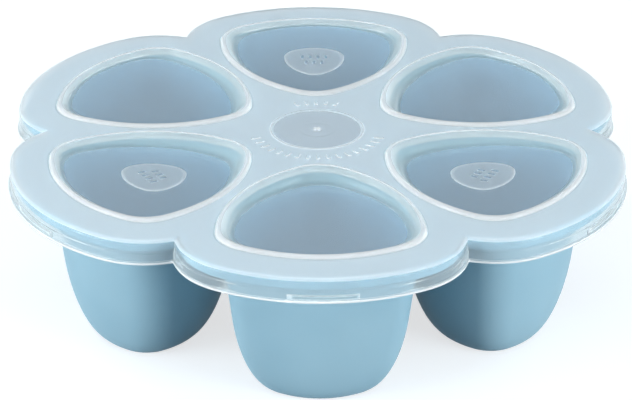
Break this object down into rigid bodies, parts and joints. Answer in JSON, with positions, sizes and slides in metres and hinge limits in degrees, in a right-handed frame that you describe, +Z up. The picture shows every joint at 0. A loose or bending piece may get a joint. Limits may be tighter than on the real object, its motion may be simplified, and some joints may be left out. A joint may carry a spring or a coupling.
{
  "type": "baby food freezer tray",
  "caption": "Flower-shaped soft tray with deep rounded-triangle cups for freezing portions, closed by a translucent lid that clips over its rim and has a recess over each cup.",
  "frame": {"origin": "centre of the closed tray, on the surface that its cups stand on", "axes": "+Z up, +X to the right, -Y to the front, where one cup points"},
  "size_m": [0.2008, 0.2116, 0.0571],
  "materials": {
    "silicone": "matte light-blue silicone with a soft sheen",
    "frosted_lid": "translucent frosted polypropylene, satin"
  },
  "bodies": {
    "tray_body": {"tray": "silicone"},
    "lid_body": {"lid": "frosted_lid"}
  },
  "joints": [
    {"name": "lid_lift", "type": "slide", "parent": "tray_body", "child": "lid_body", "axis": [0, 0, 1], "range_m": [0, 0.07]}
  ]
}
